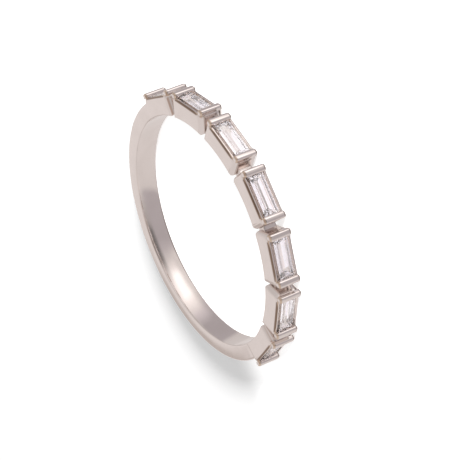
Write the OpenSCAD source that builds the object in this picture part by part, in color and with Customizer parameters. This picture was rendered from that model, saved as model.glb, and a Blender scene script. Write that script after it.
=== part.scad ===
// Half-eternity ring: seven baguette stones, each in a box of its own, on a plain shank.
// The ring lies on its side. The finger bore runs along Z through the origin, and the
// middle stone faces -Y. Millimetres.

/* [Finger] */
// inside diameter of the ring
inner_d = 17; // [14:0.1:22]

/* [Shank] */
// thickness of the plain shank, from the finger to its outside
shank_t = 1.2; // [0.9:0.05:2.5]
// width of the ring where the boxes stand, side face to side face
band_w = 1.86; // [1.4:0.02:4]
// width of the shank opposite the stones
back_w = 1.56; // [1.2:0.02:4]
// radius of the softened outer edges of the shank
edge_r = 0.2; // [0.05:0.01:0.3]
// radius of the softened edges of the finger hole
hole_edge_r = 0.08; // [0.05:0.01:0.3]

/* [Boxes] */
// angle from one box to the next
pitch = 26; // [22:0.1:30]
// length of a box along the ring
box_l = 3.88; // [3:0.02:5]
// height of a box's long walls, from the finger to their top edge
wall_h = 1.36; // [1:0.02:2.5]
// radius of a box's corners at the finger, seen from the side
corner_r = 0.3; // [0.1:0.02:0.5]
// radius of a box's four upright corners, seen from outside the ring
post_r = 0.46; // [0.1:0.02:0.5]
// thickness of a long wall at its top edge
wall_t = 0.22; // [0.1:0.01:0.25]
// drop of a long wall's top edge towards the stone
wall_drop = 0.02; // [0:0.01:0.12]
// height of the rounding along a long wall's outer top edge
rim_h = 0.3; // [0.05:0.01:0.4]
// width of that rounding, across the ring
rim_w = 0.16; // [0.04:0.01:0.2]
// width of the link that joins one box to the next
link_w = 1.0; // [0.5:0.05:1.8]
// thickness of that link, from the finger outwards
link_t = 0.65; // [0.4:0.05:1.2]

/* [Bars] */
// width of the rounded bar that holds each end of a stone
bar_w = 0.52; // [0.3:0.02:0.8]
// height of the bars above the long walls
bar_h = 0.32; // [0.1:0.02:0.6]
// length of a bar across the ring
bar_l = 1.76; // [1:0.02:3]
// radius of the bars' rounded ends
bar_end_r = 0.2; // [0.05:0.01:0.24]
// radius of the rounding along a bar's two top edges
bar_edge_r = 0.18; // [0.05:0.01:0.24]

/* [Stones] */
// length of a stone
stone_l = 3.04; // [2:0.02:4]
// width of a stone
stone_w = 1.32; // [0.8:0.02:2.5]
// height of the crown, from the girdle to the table
crown_h = 0.17; // [0.08:0.01:0.4]
// thickness of the girdle
girdle_h = 0.04; // [0.02:0.01:0.1]
// depth of the pavilion, from the girdle to the keel
pavilion_h = 0.54; // [0.4:0.02:1]
// height of the table above the long walls
table_rise = 0.05; // [-0.1:0.01:0.2]
// play between a stone and its seat
seat_gap = 0.03; // [0.01:0.01:0.08]
// length of the window from a stone's seat to the finger
window_l = 2.4; // [1:0.05:2.8]

/* [Hidden] */
stone_n = 7;                               // stones, each in its own box
inner_r = inner_d / 2;
shank_r = inner_r + shank_t;
half_w = band_w / 2;
wall_r = inner_r + wall_h;                 // top edge of the long walls
box_h2 = box_l / 2;
bar_r = bar_w / 2;
bar_y = box_h2 - bar_r;                    // centre of a bar, along the ring
bar_top = wall_r + bar_h;
link_r = inner_r + link_t;
table_x = wall_r + table_rise;             // height of the table, from the ring's axis
girdle_x = table_x - crown_h - girdle_h;   // lower edge of the girdle
keel_x = girdle_x - pavilion_h;
tilt = atan((band_w - back_w) / 2 / shank_r);
middle = (stone_n + 1) / 2;
taper_from = 7;                            // where the taper's own soft edges start, degrees
reach = 2 * shank_r;
// a stone's outlines from the table down: half length, half width, height
// each is a share of the girdle's half width drawn in from the girdle's outline
steps = [[0.48, table_x], [0.21, table_x - 0.3 * crown_h],
         [0.0, girdle_x + girdle_h], [0.0, girdle_x],
         [0.4, girdle_x - 0.472 * pavilion_h], [0.78, girdle_x - 0.876 * pavilion_h],
         [0.97, keel_x]];

function arc(cx, cy, r, from, to, n = 6) =
    [for (i = [0:n]) let (a = from + (to - from) * i / n) [cx + r * cos(a), cy + r * sin(a)]];

function mirrored(points) =
    concat(points, [for (i = [len(points) - 1:-1:0]) [points[i][0], -points[i][1]]]);

// puts a box or a stone in its place: outwards is +X, along the ring is Y
module place(k) {
    rotate([0, 0, -90 - (k - middle) * pitch]) children();
}

// a prism along the ring, from a cross-section given as [outwards, across]
module along(l, points) {
    rotate([90, 0, 0]) linear_extrude(height = l, center = true) polygon(points);
}

// tool that rounds an edge round the ring at radius r to the radius soft; side is 1 where the
// metal lies outside r and -1 where it lies inside
module edge_tool(r, side, soft, from, sweep) {
    c = [r + side * soft, half_w - soft];
    far = [r - side * soft, half_w + soft];
    rotate([0, 0, from]) rotate_extrude(angle = sweep, $fn = 180)
        polygon(concat(arc(c[0], c[1], 1.03 * soft, 90, 90 + side * 90),
                       [[far[0], c[1]], far, [c[0], far[1]]]));
}

// lays what it holds on the sloping side faces of the shank
module on_slope() {
    translate([0, 0, half_w]) rotate([-tilt, 0, 0]) translate([0, 0, -half_w]) children();
}

module both_sides() {
    children();
    mirror([0, 0, 1]) children();
}

// an upright prism with rounded corners, l along the ring and w across it
module upright(l, w, r) {
    y = l / 2 - r;
    z = w / 2 - r;
    translate([inner_r - 1, 0, 0]) rotate([0, 90, 0]) linear_extrude(height = wall_h + 2)
        polygon(concat(arc(z, y, r, 0, 90), arc(-z, y, r, 90, 180), arc(-z, -y, r, 180, 270),
                       arc(z, -y, r, 270, 360)));
}

// the plain half of the ring, with ends that run into the first and the last box
module shank() {
    lap = 6;
    difference() {
        rotate([0, 0, -lap]) rotate_extrude(angle = 180 + 2 * lap, $fn = 180)
            translate([inner_r - 0.4, -half_w]) square([shank_t + 0.4, band_w]);
        both_sides() edge_tool(shank_r, -1, edge_r, -2 * lap, 180 + 4 * lap);
    }
}

// what the taper takes off the shank's two side faces, with softened edges again
module taper() {
    both_sides() on_slope() {
        translate([-reach, 0, half_w]) cube([2 * reach, reach, band_w]);
        edge_tool(inner_r, 1, hole_edge_r, taper_from, 180 - 2 * taper_from);
        edge_tool(shank_r, -1, edge_r, taper_from, 180 - 2 * taper_from);
    }
}

// one box, with its upright corners, the inner corners of its side faces and its rims rounded
module box() {
    tc = box_h2 - corner_r;
    uc = sqrt(pow(inner_r + corner_r - 0.012, 2) - tc * tc);
    intersection() {
        linear_extrude(height = band_w, center = true)
            polygon(mirrored(concat([[wall_r, box_h2]], arc(uc, tc, corner_r, 90, 205, 7),
                                    [[inner_r - 0.6, tc - 0.1]])));
        upright(box_l, band_w, post_r);
        along(2 * box_l, mirrored(concat([for (p = arc(0, 0, 1, 0, 90, 6))
            [wall_r + rim_h * (p[0] - 1), half_w + rim_w * (p[1] - 1)]], [[inner_r - 1, half_w]])));
    }
}

// the room for a stone: a ledge all along, and a window to the finger under it
module seat() {
    w = stone_w / 2 + seat_gap;
    ledge = girdle_x - seat_gap / 2;
    well = [[wall_r - wall_drop, half_w - wall_t], [ledge + 0.05, half_w - wall_t],
            [ledge, w], [ledge - 0.44 * pavilion_h, 0.67 * w], [ledge - 0.8 * pavilion_h, 0.3]];
    along(stone_l + 2 * seat_gap, mirrored(concat([[wall_r + 1, half_w - wall_t]], well)));
    // the long walls fall towards the stone, between the bars
    along(2 * (bar_y - bar_r), mirrored([[wall_r + 0.2, half_w + 0.6],
                                         [wall_r, half_w - 0.6 * rim_w],
                                         [wall_r - wall_drop, half_w - wall_t]]));
    along(window_l, mirrored([[ledge - 0.7 * pavilion_h, 0.3], [inner_r - 0.6, 0.3]]));
}

// a rounded bar over one end of a stone
module bar() {
    low = wall_r - 0.04;
    flat = bar_r - bar_edge_r;
    spring = bar_top - bar_edge_r;
    intersection() {
        linear_extrude(height = bar_l, center = true)
            polygon(concat([[low, bar_y - bar_r], [low, bar_y + bar_r]],
                           arc(spring, bar_y + flat, bar_edge_r, 90, 0, 5),
                           arc(spring, bar_y - flat, bar_edge_r, 0, -90, 5)));
        along(4 * box_l, mirrored(concat([[low - 0.1, bar_l / 2]],
            arc(bar_top - bar_end_r, bar_l / 2 - bar_end_r, bar_end_r, 90, 0, 5))));
        translate([0, bar_y, 0]) upright(bar_w, bar_l, bar_r - 0.02);
    }
}

module band() {
    color([0.82, 0.78, 0.76]) {
        difference() {
            union() {
                shank();
                rotate([0, 0, 180]) rotate_extrude(angle = 180, $fn = 180)
                    translate([inner_r - 0.4, -link_w / 2]) square([link_t + 0.4, link_w]);
                for (k = [1:stone_n]) place(k) box();
            }
            cylinder(h = 3 * band_w, r = inner_r, center = true, $fn = 180);
            both_sides() edge_tool(inner_r, 1, hole_edge_r, 0, 360);
            taper();
            for (k = [1:stone_n]) place(k) seat();
        }
        for (k = [1:stone_n]) place(k) for (m = [0, 1]) mirror([0, m, 0]) bar();
    }
}

// a straight baguette: table, two crown steps, girdle, three pavilion steps and a keel
module baguette(k) {
    corners = [[1, 1], [-1, 1], [-1, -1], [1, -1]];
    points = [for (s = steps, c = corners) [s[1], c[0] * (stone_l - s[0] * stone_w) / 2,
                                            c[1] * (1 - s[0]) * stone_w / 2]];
    last = len(steps) - 1;
    faces = concat([[0, 1, 2, 3]],
                   [for (i = [0:last - 1], j = [0:3]) [4 * i + j, 4 * i + 4 + j,
                                                       4 * i + 4 + (j + 1) % 4,
                                                       4 * i + (j + 1) % 4]],
                   [[4 * last + 3, 4 * last + 2, 4 * last + 1, 4 * last]]);
    color([0.9, 0.93, 0.96]) place(k) polyhedron(points = points, faces = faces);
}

module stone_1() { baguette(1); }
module stone_2() { baguette(2); }
module stone_3() { baguette(3); }
module stone_4() { baguette(4); }
module stone_5() { baguette(5); }
module stone_6() { baguette(6); }
module stone_7() { baguette(7); }

band();
stone_1();
stone_2();
stone_3();
stone_4();
stone_5();
stone_6();
stone_7();
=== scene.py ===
import math

import bmesh
import bpy
from mathutils import Matrix, Vector


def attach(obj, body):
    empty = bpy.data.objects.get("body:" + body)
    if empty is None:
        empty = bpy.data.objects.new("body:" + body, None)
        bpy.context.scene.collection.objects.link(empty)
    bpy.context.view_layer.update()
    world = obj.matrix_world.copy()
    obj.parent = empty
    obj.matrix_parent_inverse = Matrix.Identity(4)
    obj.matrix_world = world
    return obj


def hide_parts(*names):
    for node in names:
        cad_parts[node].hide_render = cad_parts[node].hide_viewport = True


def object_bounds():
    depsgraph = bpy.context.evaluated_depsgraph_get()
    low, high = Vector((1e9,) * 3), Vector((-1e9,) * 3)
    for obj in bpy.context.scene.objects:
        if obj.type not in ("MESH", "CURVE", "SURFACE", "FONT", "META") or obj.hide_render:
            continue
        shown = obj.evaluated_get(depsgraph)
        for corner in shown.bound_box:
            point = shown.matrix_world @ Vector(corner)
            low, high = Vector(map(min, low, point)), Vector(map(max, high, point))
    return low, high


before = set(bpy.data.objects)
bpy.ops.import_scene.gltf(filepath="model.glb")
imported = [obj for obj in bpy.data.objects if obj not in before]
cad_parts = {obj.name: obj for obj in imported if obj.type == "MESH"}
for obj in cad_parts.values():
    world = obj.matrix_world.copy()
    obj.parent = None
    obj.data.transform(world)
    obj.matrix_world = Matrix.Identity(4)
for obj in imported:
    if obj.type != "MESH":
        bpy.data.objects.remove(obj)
CAD_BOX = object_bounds()
MM = 0.001

# The band's driving dimensions in millimetres, the same as in the solid that it stands for,
# but for the fall of the long walls. A box, a bar or a tool is drawn with +X outwards,
# Y along the ring and Z across it.
INNER_R = 8.5           # radius of the finger bore
SHANK_T = 1.2           # thickness of the plain shank
BAND_W = 1.86           # width of the ring at the boxes
BACK_W = 1.56           # width of the shank opposite the stones
EDGE_R = 0.2            # softened outer edges of the shank
HOLE_EDGE_R = 0.08      # softened edges of the bore
STONES = 7
PITCH = 26              # from one box to the next, in degrees
BOX_L = 3.88            # length of a box along the ring
WALL_H = 1.36           # height of its long walls, from the finger
CORNER_R = 0.3          # its corners at the finger, seen from the side
POST_R = 0.46           # its upright corners, seen from outside the ring
WALL_T = 0.22           # thickness of a long wall at its top
WALL_DROP = 0.004       # fall of that top towards the stone
RIM_H = 0.3             # height of the rounding along a long wall's outer top edge
RIM_W = 0.16            # width of that rounding
LINK_W = 1.0            # width of the link from one box to the next
LINK_T = 0.65           # thickness of that link, from the finger
LINK_SOFT = 0.06        # its softened edges
BAR_W = 0.52            # width of the bar over each end of a stone
BAR_H = 0.32            # height of the bars above the long walls
BAR_L = 1.76            # length of a bar across the ring
BAR_END_R = 0.2         # rounding of its ends
BAR_EDGE_R = 0.18       # rounding of its two long edges
BAR_DOME = 0.012        # crown of a bar over its flat top
STONE_L = 3.04
STONE_W = 1.32
CROWN_H = 0.17          # from the girdle to the table
GIRDLE_H = 0.04
PAVILION_H = 0.54       # from the girdle to the keel
TABLE_RISE = 0.05       # height of the table above the long walls
SEAT_GAP = 0.03         # play between a stone and its seat
WINDOW_L = 2.4          # length of the window under a stone

HALF_W = BAND_W / 2
SHANK_R = INNER_R + SHANK_T
WALL_R = INNER_R + WALL_H
HALF_L = BOX_L / 2
BAR_R = BAR_W / 2
BAR_Y = HALF_L - BAR_R
BAR_TOP = WALL_R + BAR_H
GIRDLE_X = WALL_R + TABLE_RISE - CROWN_H - GIRDLE_H
SLOPE = (BAND_W - BACK_W) / 2 / SHANK_R

# Finer points of the shapes, in millimetres and degrees
SHANK_LAP = 6           # how far the shank runs into the end boxes, in degrees
DOME_TILT = 11          # turn of the shank's inside at its edges, at the back, in degrees
DOME_STATIONS = (0.86, 0.7, 0.54, 0.38, 0.22, 0.07)     # points over that dome, as shares
BACK_EDGE_EXTRA = 0.06  # extra softness of the shank's outer edges at the back
LEDGE_STEP = 0.05       # height over which the well narrows to the stone, above its ledge
WINDOW_HALF = 0.3       # half width of the window under a stone
BAR_SINK = 0.04         # how far a bar runs down into the box
CORNER_REACH = 0.012    # how far a box's round corners at the finger reach into the bore
LINK_REACH = 2          # how far a link runs each way from the middle of its gap, in degrees
CLEAR = 1               # how far a cutting tool runs past the metal
INTO_BORE = 0.6         # how far a box and its window run into the bore, which cuts them
APART = 0.002           # keeps two surfaces that lie on each other from being coplanar


def link(obj):
    bpy.context.scene.collection.objects.link(obj)
    return obj


def arc(cx, cy, r, start, end, n):
    angles = [math.radians(start + (end - start) * i / n) for i in range(n + 1)]
    return [(cx + r * math.cos(a), cy + r * math.sin(a)) for a in angles]


def mirrored(points):
    return points + [(x, -y) for x, y in reversed(points)]


def solid(name, verts, faces):
    """A closed mesh with two material slots: the outer finish, and the seats' finish."""
    mesh = bpy.data.meshes.new(name)
    mesh.from_pydata(verts, [], faces)
    bm = bmesh.new()
    bm.from_mesh(mesh)
    bmesh.ops.recalc_face_normals(bm, faces=bm.faces)
    bm.to_mesh(mesh)
    bm.free()
    for _ in range(2):
        mesh.materials.append(None)
    return link(bpy.data.objects.new(name, mesh))


def loft(name, rings):
    """A closed solid through rings of points, with one face over the ring at each end."""
    n = len(rings[0])
    last = (len(rings) - 1) * n
    faces = [tuple(range(n)), tuple(range(last, last + n))]
    for i in range(0, last, n):
        for j in range(n):
            k = (j + 1) % n
            faces.append((i + j, i + k, i + n + k, i + n + j))
    return solid(name, [p for ring in rings for p in ring], faces)


def across(name, points, z0, z1):
    """A prism across the ring, from a side view given as (outwards, along)."""
    return loft(name, [[(x, y, z) for x, y in points] for z in (z0, z1)])


def along(name, length, points):
    """A prism along the ring, from a section given as (outwards, across)."""
    return loft(name, [[(x, y, z) for x, z in points] for y in (-length / 2, length / 2)])


def turned(name, profile, start, end, steps):
    """A profile of (radius, across) carried round the ring; a full turn closes on itself."""
    full = end - start == 360
    stations = range(steps if full else steps + 1)
    turns = [math.radians(start + (end - start) * i / steps) for i in stations]
    rings = [[(r * math.cos(a), r * math.sin(a), z) for r, z in profile] for a in turns]
    if not full:
        return loft(name, rings)
    n, total = len(profile), len(profile) * steps
    faces = []
    for i in range(0, total, n):
        for j in range(n):
            k = (j + 1) % n
            faces.append((i + j, i + k, (i + n + k) % total, (i + n + j) % total))
    return solid(name, [p for ring in rings for p in ring], faces)


def combine(operation, target, tools):
    """The target joined with, cut by or kept inside the tools, which are used up."""
    group = bpy.data.collections.new("tools")
    bpy.context.scene.collection.children.link(group)
    for tool in tools:
        group.objects.link(tool)
    mod = target.modifiers.new("combine", "BOOLEAN")
    mod.operation = operation
    mod.solver = "EXACT"
    mod.operand_type = "COLLECTION"
    mod.collection = group
    bpy.context.view_layer.update()
    graph = bpy.context.evaluated_depsgraph_get()
    made = bpy.data.meshes.new_from_object(target.evaluated_get(graph))
    target.modifiers.clear()
    target.data = made
    for tool in tools:
        bpy.data.objects.remove(tool)
    bpy.data.collections.remove(group)
    return target


def placed(obj, k):
    """Turns a box, bar or tool to its place round the ring; the middle one faces -Y."""
    turn = -90 - (k - (STONES + 1) / 2) * PITCH
    obj.data.transform(Matrix.Rotation(math.radians(turn), 4, "Z"))
    return obj


def copied(obj):
    return link(bpy.data.objects.new(obj.name, obj.data.copy()))


def in_seat(tool):
    """Marks a tool's faces, so that what it cuts takes the seats' finish."""
    for face in tool.data.polygons:
        face.material_index = 1
    return tool


def seat_tools():
    """The room for a stone: its well, the window under it, and the fall of the long walls."""
    w = STONE_W / 2 + SEAT_GAP
    ledge = GIRDLE_X - SEAT_GAP / 2
    inner = HALF_W - WALL_T
    # the well's sides follow the steps of the pavilion
    well = [(WALL_R + CLEAR, inner), (ledge + LEDGE_STEP, inner), (ledge, w),
            (ledge - 0.44 * PAVILION_H, 0.67 * w), (ledge - 0.8 * PAVILION_H, WINDOW_HALF)]
    window = [(ledge - 0.7 * PAVILION_H, WINDOW_HALF), (INNER_R - INTO_BORE, WINDOW_HALF)]
    # the fall starts within the rounding of the rim, and its tool clears the metal outside it
    falls = [(WALL_R + 0.2, HALF_W + 0.6), (WALL_R, HALF_W - 0.6 * RIM_W),
             (WALL_R - WALL_DROP, inner)]
    return [in_seat(along("well", STONE_L + 2 * SEAT_GAP, mirrored(well))),
            in_seat(along("window", WINDOW_L, mirrored(window))),
            along("falls", 2 * (BAR_Y - BAR_R), mirrored(falls))]


def bore_tool():
    """The finger's room, flared at both ends to soften the edges."""
    overcut = 1.03      # makes the flare's arc cross the two faces that it joins
    reach = overcut * HOLE_EDGE_R
    first = 180 - math.degrees(math.acos(1 / overcut))
    edge = arc(INNER_R + HOLE_EDGE_R, HALF_W - HOLE_EDGE_R, reach, first, 90, 8)
    high = HALF_W + CLEAR
    flare = edge + [(INNER_R + HOLE_EDGE_R, high), (INNER_R - 3 * CLEAR, high)]
    return turned("bore", mirrored(flare), 0, 360, 360)


def posts():
    """A box's outline from outside the ring, as a prism with round corners and a soft rim."""
    y, z = HALF_L - POST_R, HALF_W - POST_R
    rim = [(WALL_R - RIM_H * (1 - up), RIM_W * (1 - out)) for out, up in arc(0, 0, 1, 0, 90, 8)]
    rings = []
    for x, draw in [(INNER_R - CLEAR, 0.0)] + rim:
        corners = ((z, y, 0), (-z, y, 90), (-z, -y, 180), (z, -y, 270))
        outline = [p for cz, cy, a in corners for p in arc(cz, cy, POST_R - draw, a, a + 90, 8)]
        rings.append([(x, along_ring, across_ring) for across_ring, along_ring in outline])
    return loft("posts", rings)


def box():
    """One box with its seat, with round upright corners and round corners at the finger."""
    y = HALF_L - CORNER_R
    x = math.sqrt((INNER_R + CORNER_R - CORNER_REACH) ** 2 - y * y)
    side = [(WALL_R + CLEAR, HALF_L + CLEAR), (x, HALF_L + CLEAR)]
    side += arc(x, y, CORNER_R, 90, 205, 9) + [(INNER_R - INTO_BORE, y - 0.1)]
    body = across("box", mirrored(side), -HALF_W - CLEAR, HALF_W + CLEAR)
    return combine("DIFFERENCE", combine("INTERSECT", body, [posts()]),
                   [bore_tool()] + seat_tools())


def bar(side):
    """A pillow-shaped bar over one end of a stone, lofted across the ring."""
    flat = BAR_L / 2 - BAR_END_R
    # the rounding of an end stops short of a quarter turn, where the long edges would run out
    end = [(flat + z, BAR_END_R - x) for x, z in arc(0, 0, BAR_END_R, 0, 81, 9)]
    low = WALL_R - BAR_SINK
    rings = []
    for z, draw in [(-z, draw) for z, draw in reversed(end)] + end:
        r, top, edge = BAR_R - draw, BAR_TOP - draw, BAR_EDGE_R - draw
        dome = BAR_DOME * (1 - (z / (BAR_L / 2)) ** 2)
        outline = [(low, -r)] + arc(top - edge, edge - r, edge, -90, 0, 8)
        for degrees in range(-75, 76, 15):
            a = math.radians(degrees)
            outline.append((top + dome * math.cos(a), (r - edge) * math.sin(a)))
        outline += arc(top - edge, r - edge, edge, 0, 90, 8) + [(low, r)]
        rings.append([(x, side * BAR_Y + y, z) for x, y in outline])
    return loft("bar", rings)


def joint():
    """The link between one box and the next, with softened edges."""
    top, h = INNER_R + LINK_T - LINK_SOFT, LINK_W / 2
    half = [(INNER_R + APART, h)] + arc(top, h - LINK_SOFT, LINK_SOFT, 90, 0, 3)
    return turned("joint", mirrored(half), PITCH / 2 - LINK_REACH, PITCH / 2 + LINK_REACH, 4)


def shank_section(angle):
    """The shank's outline at one angle, as (radius, across); the back is domed inside."""
    back = max(0.0, math.sin(math.radians(angle)))
    dome = DOME_TILT * max(0.01, back) ** 1.5       # the dome is never quite flat
    tilt = math.radians(dome)
    low = INNER_R + APART

    def side(x):
        return HALF_W - APART - SLOPE * x * back

    soft = EDGE_R + BACK_EDGE_EXTRA * back
    half = [(x, z + side(x) - soft) for x, z in arc(SHANK_R - soft, 0, soft, 0, 90, 8)]
    cz = side(low) - HOLE_EDGE_R
    reach = cz + HOLE_EDGE_R * math.sin(tilt)
    dome_r = reach / math.sin(tilt)
    cx = low + dome_r * (1 - math.cos(tilt)) + HOLE_EDGE_R * math.cos(tilt)
    half += arc(cx, cz, HOLE_EDGE_R, 90, 180 - dome, 7)
    for share in DOME_STATIONS:
        half.append((low + dome_r - math.sqrt(dome_r ** 2 - (reach * share) ** 2), reach * share))
    return mirrored(half)


def shank():
    rings = []
    for angle in range(-SHANK_LAP, 181 + SHANK_LAP):
        a = math.radians(angle)
        rings.append([(r * math.cos(a), r * math.sin(a), z) for r, z in shank_section(angle)])
    tools = [placed(tool, k) for k in (1, STONES) for tool in seat_tools()]
    return combine("DIFFERENCE", loft("shank", rings), tools)


def band():
    one = box()
    parts = [shank()]
    for k in range(1, STONES + 1):
        parts += [placed(bar(side), k) for side in (-1, 1)]
        if k > 1:
            parts += [placed(joint(), k), placed(copied(one), k)]
    whole = combine("UNION", placed(one, 1), parts)
    whole.name = "ring_band"
    return whole


# Camera: the photograph's viewing angle, from the front and above the floor
CAMERA_PLACE = Vector((-10.022, -142.897, 66.034)) * MM
CAMERA_RIGHT = Vector((-0.39209, -0.37165, -0.84151))
CAMERA_UP = Vector((0.91805, -0.2165, -0.33214))
CAMERA_LENS = 176.67        # in millimetres, on a sensor 36 mm wide


def add_camera():
    data = bpy.data.cameras.new("camera")
    data.lens = CAMERA_LENS
    data.sensor_width = 36
    data.clip_start = 0.005
    data.clip_end = 10
    camera = link(bpy.data.objects.new("camera", data))
    back = CAMERA_RIGHT.cross(CAMERA_UP)
    turn = Matrix((CAMERA_RIGHT, CAMERA_UP, back)).transposed().to_4x4()
    camera.matrix_world = Matrix.Translation(CAMERA_PLACE) @ turn
    bpy.context.scene.camera = camera


class Nodes:
    """Short words for building a node tree. An input is named by its socket, with _ for a
    space, or is i0, i1 and so on for the socket's number."""

    def __init__(self, tree):
        self.tree = tree
        tree.nodes.clear()

    def add(self, kind, **inputs):
        node = self.tree.nodes.new(kind)
        for name, value in inputs.items():
            self.set(node, name, value)
        return node

    def set(self, node, name, value):
        numbered = name[0] == "i" and name[1:].isdigit()
        socket = node.inputs[int(name[1:]) if numbered else name.replace("_", " ")]
        if isinstance(value, bpy.types.NodeSocket):
            self.tree.links.new(value, socket)
        else:
            socket.default_value = value

    def math(self, operation, a, b=0.0):
        node = self.add("ShaderNodeMath", i0=a, i1=b)
        node.operation = operation
        return node.outputs[0]

    def vector(self, operation, a, b):
        node = self.add("ShaderNodeVectorMath", i0=a, i1=b)
        node.operation = operation
        return node.outputs["Value" if operation == "DISTANCE" else "Vector"]

    def split(self, vector):
        return self.add("ShaderNodeSeparateXYZ", i0=vector).outputs

    def degrees(self, radians):
        return self.math("MULTIPLY", radians, 180 / math.pi)

    def ramp(self, value, start, end, low=0.0, high=1.0):
        """Goes smoothly from low to high as value goes from start to end."""
        node = self.add("ShaderNodeMapRange")
        node.interpolation_type = "SMOOTHSTEP"
        inputs = {"Value": value, "From Min": start, "From Max": end, "To Min": low, "To Max": high}
        for name, given in inputs.items():
            self.set(node, name, given)
        return node.outputs[0]

    def between(self, value, start, end, soft):
        """1 where value lies between start and end, and 0 outside."""
        rise = self.ramp(value, start - soft / 2, start + soft / 2)
        fall = self.ramp(value, end - soft / 2, end + soft / 2, 1.0, 0.0)
        return self.math("MULTIPLY", rise, fall)

    def mix(self, share, a, b):
        node = self.add("ShaderNodeMix")
        node.data_type = "RGBA"
        for name, given in (("i0", share), ("i6", a), ("i7", b)):
            self.set(node, name, given)
        return node.outputs[2]

    def noise(self, place, scale, detail=2.0):
        node = self.add("ShaderNodeTexNoise", Vector=place, Scale=scale, Detail=detail)
        return node.outputs[0]


def warm(v):
    return (v, 0.945 * v, 0.93 * v, 1)


def lilac(v):
    return (v, 0.925 * v, 0.955 * v, 1)


def brown(v):
    return (v, 0.78 * v, 0.68 * v, 1)


# The light tent, as polished metal sees it, is a stack of belts, each with its colours round
# the ring as (azimuth, colour). Azimuth 0 is towards the camera and 90 towards +X, and the
# back is -180. One turn runs from START to SEAM.
SEAM = 150
START = SEAM - 360
GLARE = (1.5, 1.46, 1.45, 1)    # the brightest patch
FOOT = [(START, warm(0.75)), (SEAM, warm(0.75))]
LOW = [(START, warm(1.1)), (-135, warm(1.1)), (-115, brown(0.2)), (-90, brown(0.13)),
       (80, brown(0.13)), (110, brown(0.2)), (135, warm(1.1))]
KNEE = [(START, warm(0.78)), (-100, warm(0.80)), (-65, warm(0.76)), (-58, lilac(0.52)),
        (-10, lilac(0.50)), (0, lilac(0.62)), (8, warm(0.80)), (20, warm(0.84)),
        (30, warm(0.92)), (52, warm(0.90)), (60, warm(0.80)), (72, lilac(0.64)),
        (90, lilac(0.48)), (124, lilac(0.48)), (130, warm(0.70))]
MIDDLE = [(START, warm(0.78)), (-170, warm(0.80)), (-100, warm(0.80)), (-65, warm(0.76)),
          (-58, lilac(0.52)), (-10, lilac(0.50)), (0, lilac(0.60)), (10, warm(0.74)),
          (19, warm(1.02)), (28, GLARE), (50, GLARE), (58, warm(1.2)), (66, warm(1.0)),
          (75, lilac(0.76)), (90, lilac(0.48)), (124, lilac(0.48)), (130, warm(0.70))]
UPPER = [(START, warm(0.85)), (-165, warm(0.84)), (-140, warm(0.80)), (-60, warm(0.80)),
         (-48, warm(0.60)), (-30, warm(0.46)), (-20, warm(0.20)), (8, warm(0.18)),
         (16, warm(0.5)), (26, warm(0.9)), (36, warm(1.2)), (54, warm(1.2)), (64, warm(1.0)),
         (76, warm(0.66)), (115, warm(0.62)), (140, warm(0.80))]
HIGH = [(START, warm(0.85)), (-165, warm(0.84)), (-140, warm(0.80)), (-60, warm(0.80)),
        (-48, warm(0.68)), (-20, warm(0.58)), (10, warm(0.58)), (36, warm(0.80)),
        (58, warm(0.80)), (70, warm(0.66)), (115, warm(0.62)), (140, warm(0.80))]
TOP = [(START, warm(0.80)), (-70, warm(0.80)), (-45, brown(0.66)), (-20, brown(0.46)),
       (10, brown(0.46)), (50, warm(0.70)), (110, warm(0.64)), (140, warm(0.74))]
# each belt above the first, with the elevation where it starts and the width of the blend there
BELTS = [(LOW, -78, 4), (KNEE, -48, 8), (MIDDLE, -31, 14), (UPPER, -12, 10), (HIGH, 12, 12),
         (TOP, 44, 20)]
# a darker patch low at the back: its azimuths with their blend, its elevations with theirs
SHADE_AZIMUTH = (-183.5, -150, 4)
SHADE_ELEVATION = (5, 22.3, 3)
SHADE_TONE = (0.58, 0.52, 0.495, 1)
# the camera's own dark spot in the tent: azimuth, elevation, radius and colour
CAMERA_SPOT = (-4, 25, 6, warm(0.32))
# the tent as the stones see it: white cards of different strength round the ring
CARDS = [(START, lilac(1.0)), (-125, warm(1.15)), (-88, warm(1.15)), (-66, lilac(0.86)),
         (-35, lilac(0.86)), (-12, lilac(1.0)), (5, lilac(1.05)), (20, warm(1.25)),
         (55, warm(1.25)), (72, lilac(0.95)), (90, lilac(0.8)), (124, lilac(0.8)),
         (135, lilac(0.9))]
PAPER_GAP = 0.005           # how far the paper lies under the ring, in millimetres
# brightness of the tent on the paper, and how far its front half leads
PAPER_LIGHT = (0.5, 0.4)
# painted light: the paper glows to wash out the shadow inside and in front of the ring, and glows
# less behind it, where the shadow stays
PAPER_GLOW = (0.62, 0.16)
GLOW_FADE = (1.5, 8.0)      # the glow in front fades from here to here in Y, in millimetres
# the light that gives the shadow, in degrees, metres and watts
KEY_LIGHT = {"azimuth": 22, "elevation": 14.5, "distance": 0.5, "size": 0.16, "power": 6.8}


def direction(azimuth, elevation):
    a, e = math.radians(azimuth), math.radians(elevation)
    return Vector((math.sin(a) * math.cos(e), -math.cos(a) * math.cos(e), math.sin(e)))


def belt(n, azimuth, stops):
    """The colours round the ring, blended from one azimuth to the next."""
    share = n.math("DIVIDE", n.math("SUBTRACT", azimuth, START), 360.0)
    node = n.add("ShaderNodeValToRGB", i0=share)
    ramp = node.color_ramp
    while len(ramp.elements) < len(stops):
        ramp.elements.new(0.5)
    for element, (a, colour) in zip(ramp.elements, stops):
        element.position = (a - START) / 360
        element.color = colour
    return node.outputs[0]


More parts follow.
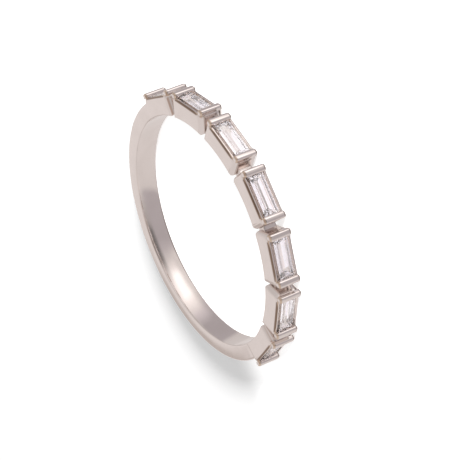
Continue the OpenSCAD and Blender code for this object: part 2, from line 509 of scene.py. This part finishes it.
def tent(n, way, azimuth, elevation):
    """The light tent's colour as polished metal sees it."""
    colour = belt(n, azimuth, FOOT)
    for stops, limit, soft in BELTS:
        share = n.ramp(elevation, limit - soft / 2, limit + soft / 2)
        colour = n.mix(share, colour, belt(n, azimuth, stops))
    shade = n.math("MULTIPLY", n.between(azimuth, *SHADE_AZIMUTH),
                   n.between(elevation, *SHADE_ELEVATION))
    colour = n.mix(shade, colour, SHADE_TONE)
    spot_azimuth, spot_elevation, radius, tone = CAMERA_SPOT
    off = n.vector("DISTANCE", way, direction(spot_azimuth, spot_elevation))
    edge = 2 * math.sin(math.radians(radius / 2))
    return n.mix(n.ramp(off, 0.7 * edge, 1.3 * edge, 1.0, 0.0), colour, tone)


def add_world():
    """A light tent that metal, stones and paper each see in their own way; white behind all."""
    world = bpy.data.worlds.new("studio")
    bpy.context.scene.world = world
    world.use_nodes = True
    n = Nodes(world.node_tree)
    way = n.add("ShaderNodeTexCoord").outputs["Generated"]
    x, y, z = n.split(way)
    azimuth = n.degrees(n.math("ARCTAN2", x, n.math("MULTIPLY", y, -1.0)))
    past_seam = n.math("GREATER_THAN", azimuth, SEAM)
    azimuth = n.math("SUBTRACT", azimuth, n.math("MULTIPLY", past_seam, 360.0))
    elevation = n.degrees(n.math("ARCSINE", z))
    level, lead = PAPER_LIGHT
    on_paper = n.math("SUBTRACT", level, n.math("MULTIPLY", y, level * lead))
    path = n.add("ShaderNodeLightPath").outputs
    colour = tent(n, way, azimuth, elevation)
    colour = n.mix(path["Is Transmission Ray"], colour, belt(n, azimuth, CARDS))
    colour = n.mix(path["Is Diffuse Ray"], colour, on_paper)
    colour = n.mix(path["Is Camera Ray"], colour, (1, 1, 1, 1))
    back = n.add("ShaderNodeBackground", Color=colour)
    n.add("ShaderNodeOutputWorld", Surface=back.outputs[0])


# The metal's grain, per millimetre
HAIRLINES = 30.0
HAIRLINE_STRETCH = (1.0, 0.05, 1.0)     # they run round the ring
CLOUDS = 0.9
SEAT_GRAIN = 12.0
# Finer points of the surfaces, in millimetres
GRAIN_DEPTH = 0.01
GAP_SHADE_REACH = 0.4         # how near other metal has to be for the painted shade in a gap
SOFT_EDGE = 0.018       # shaded softening of every edge
PAINT_BLEND = 0.02      # half the width over which the rims' painted reflection begins or ends
# Colours of the materials
GOLD = ((0.785, 0.725, 0.695, 1), (0.815, 0.755, 0.727, 1))     # from one to the other
# the seats' paler metal is painted light: it lightens the seats seen through the stones
SEAT_LIT_GOLD = ((0.90, 0.83, 0.76, 1), (0.95, 0.89, 0.83, 1))
GAP_SHADE_GOLD = (0.50, 0.43, 0.39, 1)        # painted shade deep in the gaps
RIM_PAINTED_REFLECTION = (0.26, 0.185, 0.14, 1)       # painted dark reflection along the rounded tops of the long walls
BAR_END_PAINTED_REFLECTION = (0.66, 0.54, 0.44, 1)    # painted golden reflection on the rounded ends of the bars
DIAMOND = (0.965, 0.965, 1.0, 1)
CROWN_PAINTED_SHADE = (0.20, 0.14, 0.11, 1)      # painted shade on the upward steps of the crown
# Diamond bends light by 2.42. This lower value shows the long steps without fine glitter.
DIAMOND_IOR = 1.9


def material(name):
    made = bpy.data.materials.new(name)
    made.use_nodes = True
    return made, Nodes(made.node_tree)


def ring_coordinates(n):
    """Position as (radius, way round the ring, across) in millimetres."""
    x, y, z = n.split(n.add("ShaderNodeTexCoord").outputs["Object"])
    radius = n.math("SQRT", n.math("ADD", n.math("MULTIPLY", x, x), n.math("MULTIPLY", y, y)))
    radius = n.math("MULTIPLY", radius, 1 / MM)
    round_ring = n.math("MULTIPLY", n.math("ARCTAN2", y, x), INNER_R)
    across_ring = n.math("MULTIPLY", z, 1 / MM)
    return n.add("ShaderNodeCombineXYZ", i0=radius, i1=round_ring, i2=across_ring).outputs[0]


def facing_up(n, normal):
    return n.split(n.add("ShaderNodeNewGeometry").outputs[normal])[2]


def from_box_middle(n, place):
    """Distance along the ring from the middle of the nearest box, in millimetres."""
    radius, round_ring, _ = n.split(place)
    turn = n.degrees(n.math("DIVIDE", round_ring, INNER_R))
    turn = n.math("FLOORED_MODULO", n.math("ADD", turn, 90.0 + 0.5 * PITCH), PITCH)
    turn = n.math("RADIANS", n.math("SUBTRACT", turn, 0.5 * PITCH))
    return n.math("ABSOLUTE", n.math("MULTIPLY", radius, n.math("SINE", turn)))


def white_gold():
    """Polished metal: fine hairlines round the ring, a slight unevenness, painted shade in the
    gaps, and painted dark reflections on the rims and the bars' ends.
    """
    made, n = material("white_gold_polished")
    place = ring_coordinates(n)
    radius = n.split(place)[0]
    hairlines = n.noise(n.vector("MULTIPLY", place, HAIRLINE_STRETCH), HAIRLINES, 3.0)
    clouds = n.noise(place, CLOUDS)
    rough = n.math("ADD", n.ramp(hairlines, 0.35, 0.75, 0.07, 0.13),
                   n.ramp(clouds, 0.4, 0.7, 0.0, 0.04))
    tone = n.mix(n.ramp(clouds, 0.3, 0.7), *GOLD)
    open_sky = n.add("ShaderNodeAmbientOcclusion", Distance=GAP_SHADE_REACH * MM)
    open_sky.samples = 8
    # painted shade: darker metal where other metal is near, in the gaps and pockets
    tone = n.mix(n.ramp(open_sky.outputs["AO"], 0.05, 0.5), GAP_SHADE_GOLD, tone)
    up = facing_up(n, "Normal")
    # painted dark reflection on the long walls' rounded tops that face up, beside the stones
    rim = n.math("MULTIPLY", n.between(up, 0.2, 0.93, 0.1),
                 n.ramp(radius, SHANK_R + 0.01, SHANK_R + 0.04))
    bars_start = BAR_Y - BAR_R
    beside_stone = n.ramp(from_box_middle(n, place), bars_start - PAINT_BLEND,
                          bars_start + PAINT_BLEND, 1.0, 0.0)
    tone = n.mix(n.math("MULTIPLY", rim, beside_stone), tone, RIM_PAINTED_REFLECTION)
    # painted golden reflection on the bars' rounded ends that face up
    bar_end_reflection = n.math("MULTIPLY", n.between(up, 0.3, 0.9, 0.2),
                     n.ramp(radius, WALL_R + 0.02, WALL_R + 0.06))
    tone = n.mix(bar_end_reflection, tone, BAR_END_PAINTED_REFLECTION)
    soft = n.add("ShaderNodeBevel", Radius=SOFT_EDGE * MM)
    soft.samples = 6
    bump = n.add("ShaderNodeBump", Height=hairlines, Strength=0.05, Distance=GRAIN_DEPTH * MM,
                 Normal=soft.outputs[0])
    shader = n.add("ShaderNodeBsdfPrincipled", Base_Color=tone, Metallic=1.0, Roughness=rough,
                   Normal=bump.outputs[0])
    n.add("ShaderNodeOutputMaterial", Surface=shader.outputs[0])
    return made


def seat_metal():
    """The same metal inside the seats, with a fine grain, and paler as painted light, which
    lightens the seats seen through the stones.
    """
    made, n = material("white_gold_seat")
    grain = n.noise(ring_coordinates(n), SEAT_GRAIN, 3.0)
    tone = n.mix(n.ramp(grain, 0.3, 0.7), *SEAT_LIT_GOLD)
    bump = n.add("ShaderNodeBump", Height=grain, Strength=0.03, Distance=GRAIN_DEPTH * MM)
    shader = n.add("ShaderNodeBsdfPrincipled", Base_Color=tone, Metallic=1.0, Roughness=0.12,
                   Normal=bump.outputs[0])
    n.add("ShaderNodeOutputMaterial", Surface=shader.outputs[0])
    return made


def diamond():
    """Clear stone, with painted shade on the crown's upward steps."""
    made, n = material("diamond_cut")
    above_girdle = n.math("GREATER_THAN", n.split(ring_coordinates(n))[0], GIRDLE_X + 0.02)
    # painted shade on the crown's steps that face up
    steps = n.between(facing_up(n, "True Normal"), 0.45, 0.75, 0.05)
    tone = n.mix(n.math("MULTIPLY", steps, above_girdle), DIAMOND, CROWN_PAINTED_SHADE)
    shader = n.add("ShaderNodeBsdfPrincipled", Base_Color=tone, Roughness=0.0, IOR=DIAMOND_IOR,
                   Transmission_Weight=0.96)
    n.add("ShaderNodeOutputMaterial", Surface=shader.outputs[0])
    return made


def paper():
    """White paper that glows a little, less so behind the ring, where the shadow falls."""
    made, n = material("floor_paper")
    outside = n.ramp(n.split(ring_coordinates(n))[0], INNER_R + 0.1, SHANK_R - 0.1)
    y = n.split(n.add("ShaderNodeTexCoord").outputs["Object"])[1]
    fade_start, fade_end = GLOW_FADE
    behind = n.math("MULTIPLY", outside, n.ramp(y, fade_start * MM, fade_end * MM))
    glow = n.ramp(behind, 0.0, 1.0, *PAPER_GLOW)
    shader = n.add("ShaderNodeBsdfPrincipled", Base_Color=(0.9, 0.9, 0.9, 1), Roughness=1.0,
                   Specular_IOR_Level=0.0, Emission_Color=(1, 1, 1, 1), Emission_Strength=glow)
    n.add("ShaderNodeOutputMaterial", Surface=shader.outputs[0])
    return made


def hide_from_gloss(obj):
    """Metal and stones see the tent instead."""
    obj.visible_glossy = False
    obj.visible_transmission = False


def add_floor():
    half = 3.0                              # in metres
    z = CAD_BOX[0].z - PAPER_GAP * MM
    corners = [(-half, -half, z), (half, -half, z), (half, half, z), (-half, half, z)]
    mesh = bpy.data.meshes.new("floor")
    mesh.from_pydata(corners, [], [(0, 1, 2, 3)])
    mesh.materials.append(paper())
    floor = link(bpy.data.objects.new("floor", mesh))
    hide_from_gloss(floor)


def add_light(name, azimuth, elevation, distance, size, power):
    data = bpy.data.lights.new(name, "AREA")
    data.shape = "DISK"
    data.size = size
    data.energy = power
    light = link(bpy.data.objects.new(name, data))
    way = direction(azimuth, elevation)
    turn = way.to_track_quat("Z", "Y").to_matrix().to_4x4()
    light.matrix_world = Matrix.Translation(way * distance) @ turn
    hide_from_gloss(light)


def add_band():
    ring = band()
    ring.data.transform(Matrix.Scale(MM, 4))
    ring.data.materials[0] = white_gold()
    ring.data.materials[1] = seat_metal()
    ring.data.shade_smooth()
    ring.data.set_sharp_from_angle(angle=math.radians(30))
    smooth = ring.modifiers.new("even shading", "WEIGHTED_NORMAL")
    smooth.keep_sharp = True
    smooth.weight = 100
    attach(ring, "root")
    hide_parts("band")


def dress_stones():
    finish = diamond()
    for name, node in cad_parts.items():
        if name.startswith("stone"):
            node.data.materials.clear()
            node.data.materials.append(finish)


def main():
    add_camera()
    add_world()
    add_floor()
    add_light("key", **KEY_LIGHT)
    add_band()
    dress_stones()
    scene = bpy.context.scene
    scene.view_settings.view_transform = "Standard"
    scene.cycles.max_bounces = 24
    scene.cycles.glossy_bounces = 16
    scene.cycles.transmission_bounces = 24


main()
